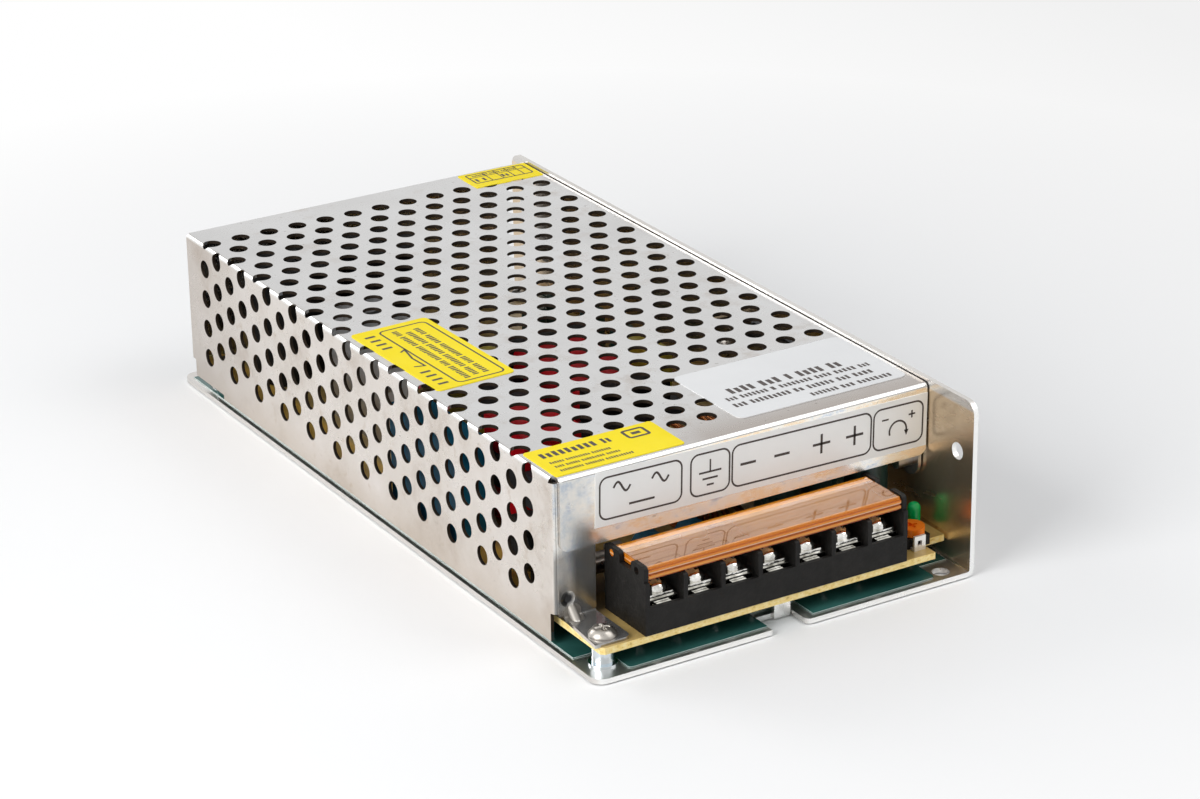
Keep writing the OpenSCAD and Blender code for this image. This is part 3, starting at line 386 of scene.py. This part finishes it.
def film():
    """Dark green sheet with a painted highlight along the top of its cut edges."""
    mat, tree, shader = material("insulating_film", (0.02, 0.08, 0.07), 0.14, Specular_IOR_Level=0.8)
    nz = normal_axes(tree)[2]
    z = axes(tree)[2]
    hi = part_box("insulating_film")[1]
    tint = ramp(tree, noise(tree, 40, 4, 0.6), [(0.35, (0.020, 0.085, 0.076)), (0.65, (0.045, 0.155, 0.138))])
    # Painted highlight along the top of the cut edges
    edge = mix(tree, rises(tree, z, hi.z - 0.00014, hi.z - 0.00010), (0.02, 0.08, 0.07), (0.55, 0.66, 0.64))
    tree.links.new(mix(tree, rises(tree, nz, 0.3, 0.6), edge, tint), shader.inputs["Base Color"])
    bump(tree, shader, noise(tree, 90, 3, 0.5), 0.12, 0.0002)
    return mat


# Name, dark and light colour, roughness, metal, scale, spread of roughness, scale and strength of the bump
M = {
    "cover": cover_steel(),
    "aluminium": sheet_aluminium(),
    "zinc": shade("zinc_plate", (0.36, 0.335, 0.30), (0.50, 0.47, 0.43), 0.34, 1.0, 300, 0.08, 1500, 0.12),
    "tin": shade("tin_plate", (0.80, 0.78, 0.74), (0.95, 0.94, 0.90), 0.30, 0.6, 200, 0.05, 1200, 0.04),
    "blue_zinc": shade("blue_zinc_plate", (0.66, 0.72, 0.76), (0.78, 0.83, 0.86), 0.16, 1.0, 120, 0.04,
                       900, 0.04),
    "nickel": shade("nickel_plate", (0.45, 0.44, 0.40), (1.0, 0.99, 0.95), 0.08, 1.0, 450, 0.04, 220, 1.0),
    "board": board(),
    "film": film(),
    "silver_label": shade("silver_label", (0.72, 0.725, 0.73), (0.78, 0.785, 0.79), 0.45, 0.2, 30, 0.05,
                          1500, 0.05),
    "legend_label": shade("legend_label", (0.80, 0.80, 0.78), (0.86, 0.86, 0.845), 0.36, 0.2, 30, 0.05,
                          1500, 0.05),
    "yellow_label": shade("yellow_label", (0.90, 0.71, 0.012), (0.95, 0.77, 0.02), 0.5, 0.0, 60, 0.06,
                          1500, 0.05, Specular_IOR_Level=0.15),
    "ink": shade("ink", (0.035, 0.024, 0.020), (0.055, 0.040, 0.034), 0.5, 0.0, 400, 0.05, 1500, 0.05),
    "black": shade("black_moulding", (0.006, 0.0055, 0.005), (0.013, 0.012, 0.011), 0.5, 0.0, 220, 0.1,
                   1600, 0.35, Specular_IOR_Level=0.2),
    "amber": amber(),
    "orange": shade("orange_moulding", (0.95, 0.17, 0.006), (1.0, 0.27, 0.015), 0.35, 0.0, 300, 0.08,
                    Specular_IOR_Level=0.2),
    "green": shade("green_lens", (0.0, 0.50, 0.10), (0.01, 0.78, 0.22), 0.08, 0.0, 200, 0.03, 900, 0.03,
                   Transmission_Weight=0.3, IOR=1.45),
    "blue": shade("blue_moulding", (0.004, 0.11, 0.20), (0.008, 0.18, 0.31), 0.45, 0.0, 90, 0.08,
                  Specular_IOR_Level=0.2),
    "yellow_part": shade("yellow_moulding", (0.45, 0.34, 0.03), (0.62, 0.48, 0.05), 0.35, 0.0, 120, 0.08),
    "green_part": shade("green_sleeve", (0.015, 0.05, 0.045), (0.03, 0.08, 0.07), 0.3, 0.0, 90, 0.06),
    "ferrite": shade("ferrite", (0.03, 0.03, 0.032), (0.055, 0.055, 0.06), 0.55, 0.0, 160, 0.1, 900, 0.25),
    "tape": shade("red_tape", (0.50, 0.002, 0.008), (0.80, 0.006, 0.018), 0.4, 0.0, 80, 0.08, 500, 0.1,
                  (1, 0.3, 1), Specular_IOR_Level=0.2),
    "core": shade("powder_core", (0.45, 0.38, 0.12), (0.6, 0.5, 0.18), 0.6, 0.0, 200, 0.1, 900, 0.25),
    "copper": shade("enamelled_copper", (0.42, 0.12, 0.03), (0.68, 0.24, 0.06), 0.22, 0.75, 150, 0.06),
    "pad": shade("thermal_pad", (0.35, 0.36, 0.37), (0.48, 0.48, 0.5), 0.6, 0.0, 200),
    "resistor": shade("resistor_body", (0.36, 0.26, 0.14), (0.5, 0.38, 0.22), 0.5, 0.0, 250),
    "solder": shade("solder", (0.5, 0.5, 0.49), (0.68, 0.68, 0.66), 0.25, 1.0, 500, 0.1, 900, 0.2),
    "fin": shade("sink_aluminium", (0.40, 0.40, 0.41), (0.55, 0.55, 0.56), 0.4, 0.9, 90, 0.08),
}

# The CAD nodes of each material
FINISH = {
    "cover": ["cover"],
    "aluminium": ["chassis"],
    "fin": ["primary_heat_sink"],
    "blue_zinc": ["standoffs"],
    "nickel": ["terminal_screws", "terminal_washers", "terminal_plates"],
    "tin": ["trimmer_wiper"],
    "zinc": ["pcb_screws", "cover_screw", "side_screws", "fuse", "fuse_holder", "transistor_screws",
             "rectifier_clamp", "clamp_screw"],
    "board": ["pcb"],
    "film": ["insulating_film"],
    "silver_label": ["rating_label"],
    "legend_label": ["legend_label"],
    "yellow_label": ["front_notice", "side_notice", "rear_notice"],
    "black": ["terminal_block", "trimmer_base", "thermistor", "bridge_rectifier", "transformer_bobbin",
              "switching_transistors", "output_rectifier", "controller_chip", "bulk_capacitors"],
    "amber": ["terminal_cover"],
    "orange": ["trimmer_rotor"],
    "green": ["led"],
    "blue": ["x_capacitor", "y_capacitors"],
    "yellow_part": ["film_capacitor", "driver_transformer"],
    "green_part": ["output_capacitors", "small_capacitors"],
    "ferrite": ["transformer_core", "line_choke_core"],
    "tape": ["transformer_winding", "line_choke_winding"],
    "core": ["output_choke_core"],
    "copper": ["output_choke_winding"],
    "pad": ["rectifier_pad"],
    "resistor": ["power_resistors"],
    "solder": ["solder_joints"],
}
for key, names in FINISH.items():
    for name in names:
        slots = nodes[name].data.materials
        if not len(slots):
            slots.append(M[key])
        for i in range(len(slots)):
            slots[i] = M[key]


# Pieces: the film's front margin, the cover's screw and the rating sticker

def mesh_of(name, work):
    """The mesh of a finished bmesh."""
    mesh = bpy.data.meshes.new(name)
    work.to_mesh(mesh)
    work.free()
    return mesh


def piece(name, mesh, mat):
    """A piece on the case, in its material and slot."""
    mesh.materials.append(M[mat])
    obj = bpy.data.objects.new(name, mesh)
    bpy.context.collection.objects.link(obj)
    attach(obj, "case")
    return obj


def sheet(name, outlines, z0, z1):
    """Flat pieces with the given outlines in mm, anticlockwise."""
    work = bmesh.new()
    for outline in outlines:
        rings = [[work.verts.new((x*MM, y*MM, z*MM)) for x, y in outline] for z in (z0, z1)]
        work.faces.new(rings[1])
        work.faces.new(rings[0][::-1])
        for i in range(len(outline)):
            j = (i + 1) % len(outline)
            work.faces.new((rings[0][i], rings[0][j], rings[1][j], rings[1][i]))
    return mesh_of(name, work)


FILM_MARGIN = 1.5
CUT_X, CUT_Y = -39.1, -87.8
NOTCH_LEFT, NOTCH_RIGHT = -4.9, 6.8
lo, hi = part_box("insulating_film")
y0, y1 = lo.y/MM - FILM_MARGIN, lo.y/MM
left_margin = [(CUT_X - 0.9, CUT_Y), (CUT_X - 0.9, y0 + 0.8), (CUT_X - 0.67, y0 + 0.23), (CUT_X - 0.1, y0),
               (NOTCH_LEFT, y0 + 0.2), (NOTCH_LEFT, y1), (CUT_X, y1), (CUT_X, CUT_Y)]
right_margin = [(NOTCH_RIGHT, y0), (38.9, y0 + 0.1), (39.6, y0 + 0.8), (39.7, y1), (NOTCH_RIGHT, y1)]
margin_mesh = sheet("film_margin", [left_margin, right_margin], lo.z/MM, hi.z/MM)
piece("film_margin", margin_mesh, "film")


def pan_screw(name, x, y, seat, top, low):
    """Low pan head with a cross recess, and its shank; sizes in mm."""
    shank, dish, turned = 1.5, 1.9, math.radians(-12)
    half_slot, arm_length, depth = 0.42, 1.7, 0.85
    count = 72
    rings = [(shank, low), (shank, seat), (3.05, seat), (3.15, seat + 0.12), (3.15, seat + 0.35),
             (3.0, seat + 0.62), (2.7, seat + 0.93), (2.3, top - 0.38), (dish, top - 0.2)]
    rings += [(r, top - 0.2*(r/dish)**2)
              for r in (1.75, 1.6, 1.45, 1.3, 1.15, 1.0, 0.85, 0.7, 0.55, 0.4, 0.25, 0.1)]
    ca, sa = math.cos(turned), math.sin(turned)
    work = bmesh.new()
    loops = []
    for r, z in rings:
        loop = []
        for k in range(count):
            a = 2*math.pi*k/count + math.radians(20)
            px, py = r*math.cos(a), r*math.sin(a)
            along, across = max(abs(px), abs(py)), min(abs(px), abs(py))
            sunk = 0
            if r < dish:
                sunk = min(1, max(0, (half_slot - across)/0.12))*min(1, max(0, (arm_length - along)/0.25))
            loop.append(work.verts.new(((x + px*ca - py*sa)*MM, (y + px*sa + py*ca)*MM, (z - depth*sunk)*MM)))
        loops.append(loop)
    for i in range(len(loops) - 1):
        for k in range(count):
            j = (k + 1) % count
            face = work.faces.new((loops[i][k], loops[i][j], loops[i + 1][j], loops[i + 1][k]))
            face.smooth = rings[i][0] > shank or rings[i + 1][0] < dish
    work.faces.new(loops[0][::-1])
    work.faces.new(loops[-1])
    return mesh_of(name, work)


lo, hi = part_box("cover_screw")
mid = (lo + hi)/2/MM
TAB_TOP = 7.9
head_mesh = pan_screw("cover_screw_head", mid.x, mid.y, TAB_TOP, hi.z/MM - 0.15, lo.z/MM)
head = piece("cover_screw_head", head_mesh, "zinc")
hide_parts("cover_screw")


# Prints: flat shapes laid on the stickers

def stroke(points, width, closed=False):
    """Polygons of a line with mitred corners, as quads."""
    pts = [Vector(p) for p in points]
    n = len(pts)
    sides = []
    for i, p in enumerate(pts):
        before = pts[i - 1] if i or closed else p - (pts[1] - p)
        after = pts[(i + 1) % n] if i < n - 1 or closed else p + (p - pts[i - 1])
        a, b = (p - before).normalized(), (after - p).normalized()
        normal = Vector((-(a + b).y, (a + b).x)).normalized()
        reach = width/2/max(0.3, normal.dot(Vector((-a.y, a.x))))
        sides.append((p + normal*reach, p - normal*reach))
    last = n if closed else n - 1
    return [[sides[i][0], sides[i][1], sides[(i + 1) % n][1], sides[(i + 1) % n][0]] for i in range(last)]


def arc(cx, cy, r, start, end, steps):
    """Points of an arc between two angles in degrees."""
    return [(cx + r*math.cos(math.radians(start + (end - start)*i/steps)),
             cy + r*math.sin(math.radians(start + (end - start)*i/steps))) for i in range(steps + 1)]


def rounded_box(x0, y0, x1, y1, r, steps):
    """Points of a rectangle with round corners, anticlockwise."""
    return (arc(x1 - r, y1 - r, r, 0, 90, steps) + arc(x0 + r, y1 - r, r, 90, 180, steps)
            + arc(x0 + r, y0 + r, r, 180, 270, steps) + arc(x1 - r, y0 + r, r, 270, 360, steps))


def rounded_frame(x0, y0, x1, y1, r, width):
    """A line of the given width along a rectangle with round corners."""
    return stroke(rounded_box(x0, y0, x1, y1, r, 6), width, True)


def bar(x0, y0, x1, y1):
    """A filled rectangle."""
    return [[Vector((x0, y0)), Vector((x0, y1)), Vector((x1, y1)), Vector((x1, y0))]]


def plus(x, y, s, w):
    """A plus sign of size s and line width w."""
    return bar(x - s/2, y - w/2, x + s/2, y + w/2) + bar(x - w/2, y - s/2, x + w/2, y + s/2)


def dashes(x0, x1, y, h, pattern):
    """Groups of upright ticks of the given lengths with equal gaps, to fill the space."""
    gap, pitch, inked_part = h*0.45, h*0.6, 0.62
    tops = (0.5, 0.35, 0.5, 0.45)
    unit = (x1 - x0 - gap*(len(pattern) - 1))/sum(pattern)
    out, x = [], x0
    for length in pattern:
        count = max(1, round(length*unit/pitch))
        step = length*unit/count
        for k in range(count):
            out += bar(x + k*step, y - h/2, x + (k + inked_part)*step, y + h*tops[k % 4])
        x += length*unit + gap
    return out


PRINT_LIFT = 0.02


def print_on(name, faces, origin, u, v):
    """Lays the faces, drawn in mm, just over the plane given by its origin and two directions."""
    u, v = Vector(u).normalized(), Vector(v).normalized()
    out = u.cross(v)*PRINT_LIFT
    mesh = bpy.data.meshes.new(name)
    verts, polys = [], []
    for face in faces:
        base = len(verts)
        points = [(Vector(origin) + u*p[0] + v*p[1] + out)*MM for p in face]
        normal = (points[1] - points[0]).cross(points[2] - points[0])
        if normal.dot(out) < 0:
            points.reverse()
        verts += points
        polys.append(list(range(base, base + len(points))))
    mesh.from_pydata([tuple(p) for p in verts], [], polys)
    piece(name, mesh, "ink")


def wave(x, y, w, h):
    """One period of a wave."""
    points = [(x - w/2 + w*i/16, y + h*math.sin(2*math.pi*i/16)) for i in range(17)]
    return stroke(points, 0.5)


# Legend: frames, wave signs, an earth sign, bars, plus signs and a turn arrow
legend = []
for x0, x1 in ((1.1, 21.6), (23.9, 33.8), (34.5, 71.0), (71.7, 85.0)):
    legend += rounded_frame(x0, 1.5, x1, 11.15, 1.9, 0.42)
legend += wave(6.6, 8.3, 4.2, 1.2) + wave(16.2, 8.3, 4.2, 1.2) + bar(8.4, 3.6, 14.8, 4.1)
legend += bar(28.65, 6.7, 29.05, 9.5) + bar(26.0, 6.4, 31.7, 6.85) + bar(26.9, 4.9, 30.8, 5.35)
legend += bar(28.0, 3.4, 29.8, 3.85)
for x in (38.6, 47.4):
    legend += bar(x - 2.0, 6.1, x + 2.0, 6.7)
for x in (57.8, 66.6):
    legend += plus(x, 6.6, 4.6, 0.6)
legend += stroke(arc(78.3, 5.2, 2.3, 200, -20, 16), 0.45) + plus(82.0, 8.4, 1.8, 0.4)
legend += bar(73.9, 8.2, 75.7, 8.6)
legend += [[Vector((80.0, 5.0)), Vector((81.2, 5.0)), Vector((80.6, 3.6))]]
lo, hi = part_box("legend_label")
turn, label_height = math.radians(0.97), 12.6
print_on("legend_print", legend, (lo.x/MM, lo.y/MM, hi.z/MM - label_height*math.cos(turn)),
         (math.cos(turn), 0, -math.sin(turn)), (math.sin(turn), 0, math.cos(turn)))

# Rating label, a little longer to the back than the CAD's
lo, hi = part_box("rating_label")
STICKER_MORE = 1.0
outline = rounded_box(lo.x/MM, lo.y/MM, hi.x/MM, hi.y/MM + STICKER_MORE, 2, 8)
sticker_mesh = sheet("rating_sticker", [outline], lo.z/MM, hi.z/MM)
rating_sticker = piece("rating_sticker", sticker_mesh, "silver_label")
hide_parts("rating_label")
rating = dashes(6.3, 36.5, 13.9, 3.0, [5, 4, 1.2, 5, 2.5])
rating += dashes(3.4, 41.6, 10.2, 1.8, [2, 5, 1, 6, 3, 4, 2])
rating += dashes(3.0, 40.0, 6.6, 2.0, [2, 6, 1.5, 4, 2, 3])
rating += dashes(20.7, 42.3, 2.7, 1.8, [4, 2, 5])
print_on("rating_print", rating, (lo.x/MM, lo.y/MM, hi.z/MM), (1, 0, 0), (0, 1, 0))

lo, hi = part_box("front_notice")
notice = dashes(2.4, 20.0, 10.6, 2.5, [7, 1.2]) + rounded_frame(23.6, 8.6, 28.6, 12.4, 0.6, 0.7)
notice += bar(25.0, 9.9, 27.2, 11.1)
for y, end, pattern in ((6.6, 17.5, [3, 5, 4]), (4.4, 18.5, [2, 3, 5, 3]), (2.2, 20.5, [5, 4, 6])):
    notice += dashes(2.4, end, y, 1.0, pattern)
print_on("front_notice_print", notice, (lo.x/MM, lo.y/MM, hi.z/MM), (1, 0, 0), (0, 1, 0))

lo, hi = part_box("side_notice")
turn = math.radians(1.6)
side = rounded_frame(6.2, 1.5, 18.4, 37.4, 1.4, 0.45)
for x, y0, y1, pattern in ((14.6, 3.5, 35.0, [4, 3, 6, 4, 3]), (12.0, 3.5, 34.0, [3, 5, 4, 5]),
                           (9.4, 2.8, 36.0, [5, 2, 6, 4, 2])):
    side += [[Vector((x - p.y, p.x)) for p in face] for face in dashes(y0, y1, 0, 1.5, pattern)]
for y0, y1 in ((27.5, 36.8), (2.8, 12.0)):
    side += [[Vector((3.2 - p.y, p.x)) for p in face] for face in dashes(y0, y1, 0, 2.6, [1, 1, 1, 1])]
side += stroke([(2.6, 15.0), (5.0, 14.2), (4.8, 19.5), (6.0, 25.0), (4.4, 24.0)], 0.5)
print_on("side_notice_print", side, (lo.x/MM + 1.1, lo.y/MM, hi.z/MM),
         (math.cos(turn), math.sin(turn), 0), (-math.sin(turn), math.cos(turn), 0))

lo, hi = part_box("rear_notice")
rear = rounded_frame(1.6, 3.2, 18.0, 9.6, 0.5, 0.4) + bar(1.6, 7.2, 18.0, 7.5)
for x in (6.2, 9.4, 12.6, 15.4):
    rear += bar(x, 3.2, x + 0.3, 9.6)
rear += dashes(2.4, 5.6, 5.2, 2.0, [1, 1]) + dashes(9.9, 12.2, 5.2, 2.0, [1])
rear += dashes(3, 16, 8.4, 0.9, [3, 2, 3])
print_on("rear_notice_print", rear, (lo.x/MM, lo.y/MM, hi.z/MM), (1, -0.0175, 0), (0.0175, 1, 0))


# Studio

def plane(name, size, location):
    """A square of the studio."""
    mesh = bpy.data.meshes.new(name)
    s = size/2
    mesh.from_pydata([(-s, -s, 0), (s, -s, 0), (s, s, 0), (-s, s, 0)], [], [(0, 1, 2, 3)])
    obj = bpy.data.objects.new(name, mesh)
    obj.location = location
    bpy.context.collection.objects.link(obj)
    return obj


def seen_rays(tree):
    """1 for camera, glossy and transmission rays."""
    paths = add(tree, "ShaderNodeLightPath")
    return either(tree, paths.outputs["Is Camera Ray"], paths.outputs["Is Glossy Ray"],
                  paths.outputs["Is Transmission Ray"])


def floor_material():
    """White floor that shades near the object and fades into the backdrop's white."""
    mat, tree, shader = material("studio_floor", (0.91, 0.91, 0.91), 0.6)
    output = tree.nodes["Material Output"]
    white = add(tree, "ShaderNodeEmission", Strength=1.0)
    coord = add(tree, "ShaderNodeTexCoord")
    # Painted shade: the backdrop's white dims towards the right, away from the key lamp
    backdrop = ramp(tree, rises(tree, axes(tree)[0], -0.25, 0.35),
                    [(0, (1, 1, 1)), (0.6, (1, 1, 1)), (1, (0.88, 0.88, 0.88))])
    tree.links.new(backdrop, white.inputs["Color"])
    length = add(tree, "ShaderNodeVectorMath", operation="LENGTH")
    tree.links.new(coord.outputs["Object"], length.inputs[0])
    fade = rises(tree, length.outputs["Value"], 0.13, 0.31)
    blend = add(tree, "ShaderNodeMixShader")
    tree.links.new(both(tree, fade, seen_rays(tree)), blend.inputs[0])
    tree.links.new(shader.outputs[0], blend.inputs[1])
    tree.links.new(white.outputs[0], blend.inputs[2])
    tree.links.new(blend.outputs[0], output.inputs["Surface"])
    return mat


floor = plane("floor", 6.0, (0, 0, -0.0003))
floor.data.materials.append(floor_material())

world = bpy.data.worlds.new("studio")
bpy.context.scene.world = world
world.use_nodes = True
tree = world.node_tree
background = tree.nodes["Background"]
background.inputs["Color"].default_value = (0.95, 0.97, 1.0, 1)
background.inputs["Strength"].default_value = 0.38
white_sky = add(tree, "ShaderNodeBackground", Color=(0.95, 0.95, 0.95, 1), Strength=1.0)
blend = add(tree, "ShaderNodeMixShader")
tree.links.new(seen_rays(tree), blend.inputs[0])
tree.links.new(background.outputs[0], blend.inputs[1])
tree.links.new(white_sky.outputs[0], blend.inputs[2])
tree.links.new(blend.outputs[0], tree.nodes["World Output"].inputs["Surface"])


AIM = Vector((0, 0, 0.02))


def area(name, location, size, watts):
    """A square lamp turned towards the object."""
    light = bpy.data.lights.new(name, "AREA")
    light.shape, light.size, light.energy = "SQUARE", size, watts
    obj = bpy.data.objects.new(name, light)
    obj.location = location
    obj.rotation_euler = (Vector(location) - AIM).to_track_quat("Z", "Y").to_euler()
    bpy.context.collection.objects.link(obj)


area("key", (-0.80, -0.20, 0.50), 0.6, 7.0)
area("rim", (-0.42, 0.85, 0.52), 0.35, 2.0)
area("fill", (0.45, -0.38, 0.75), 0.6, 2.5)

# Camera: fitted to the photograph's sheet corners and the lattice of ventilation holes
RIGHT = Vector((0.851722, -0.523850, -0.012295))
DOWN = Vector((-0.214872, -0.327765, -0.920000))
FORWARD = Vector((0.477913, 0.786226, -0.391725))
EYE = Vector((-0.397931, -0.676348, 0.352263))
FOCAL_PIXELS = 3632.753
PHOTO_WIDTH = 1200
SENSOR_WIDTH = 36.0
cam = bpy.data.cameras.new("camera")
cam.sensor_width = SENSOR_WIDTH
cam.lens = FOCAL_PIXELS*SENSOR_WIDTH/PHOTO_WIDTH
cam.clip_start, cam.clip_end = 0.05, 20
camera = bpy.data.objects.new("camera", cam)
turn = Matrix((RIGHT, -DOWN, -FORWARD)).transposed()
camera.matrix_world = Matrix.Translation(EYE) @ turn.to_4x4()
bpy.context.collection.objects.link(camera)
bpy.context.scene.camera = camera
bpy.context.scene.view_settings.view_transform = "Standard"
